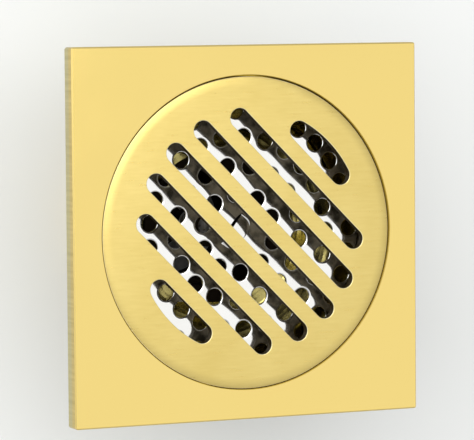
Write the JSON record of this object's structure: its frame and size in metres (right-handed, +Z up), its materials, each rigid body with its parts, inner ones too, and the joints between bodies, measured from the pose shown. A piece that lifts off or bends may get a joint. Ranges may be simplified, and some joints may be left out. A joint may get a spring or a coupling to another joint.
{
  "type": "floor drain grate",
  "caption": "Square brass floor drain with a round lift-out slotted grate, a punched strainer, a bowl and a spring-valve odour core in the outlet.",
  "frame": {"origin": "centre of the plate's underside, the face that beds on the floor", "axes": "+Z up, out of the plate's visible face; the outlet points down along -Z; +X and +Y along the plate's sides, with the slots running from -X +Y to +X -Y"},
  "size_m": [0.1, 0.1, 0.069],
  "materials": {
    "plate_brass": "satin, fine brushed sides",
    "grate_brass": "brushed",
    "strainer_steel": "mirror polished sheet",
    "bowl_brass": "as cast, lightly tumbled",
    "bush_brass": "turned",
    "steel": "bright",
    "black_rubber": "matt",
    "silicone": "matt, translucent grey",
    "black_plastic": "moulded",
    "dark_plastic": "moulded"
  },
  "bodies": {
    "drain_body": {"frame_plate": "plate_brass", "trap_bowl": "bowl_brass", "bowl_gasket": "black_rubber", "bowl_screws": "steel", "bowl_washers": "steel", "outlet_spigot": "bush_brass", "pipe_seal": "black_rubber"},
    "core": {"core_housing": "black_plastic", "core_o_rings": "black_rubber", "core_bridge": "dark_plastic", "guide_bush": "bush_brass", "valve_spring": "steel"},
    "strainer": {"strainer": "strainer_steel"},
    "grate": {"grate": "grate_brass"},
    "valve": {"valve_stem": "steel", "spring_cap": "dark_plastic", "stem_clip": "steel", "valve_disc": "dark_plastic", "valve_seal": "silicone", "disc_washer": "steel", "stem_nut": "steel"}
  },
  "joints": [
    {"name": "core_lift", "type": "slide", "parent": "drain_body", "child": "core", "axis": [0, 0, 1], "range_m": [0, 0.08]},
    {"name": "strainer_lift", "type": "slide", "parent": "core", "child": "strainer", "axis": [0, 0, 1], "range_m": [0, 0.03]},
    {"name": "grate_lift", "type": "slide", "parent": "strainer", "child": "grate", "axis": [0, 0, 1], "range_m": [0, 0.03]},
    {"name": "valve_drop", "type": "slide", "parent": "core", "child": "valve", "axis": [0, 0, -1], "range_m": [0, 0.006], "stiffness_N_per_m": 60, "springref_m": -0.004, "deforming": ["valve_spring"]}
  ]
}
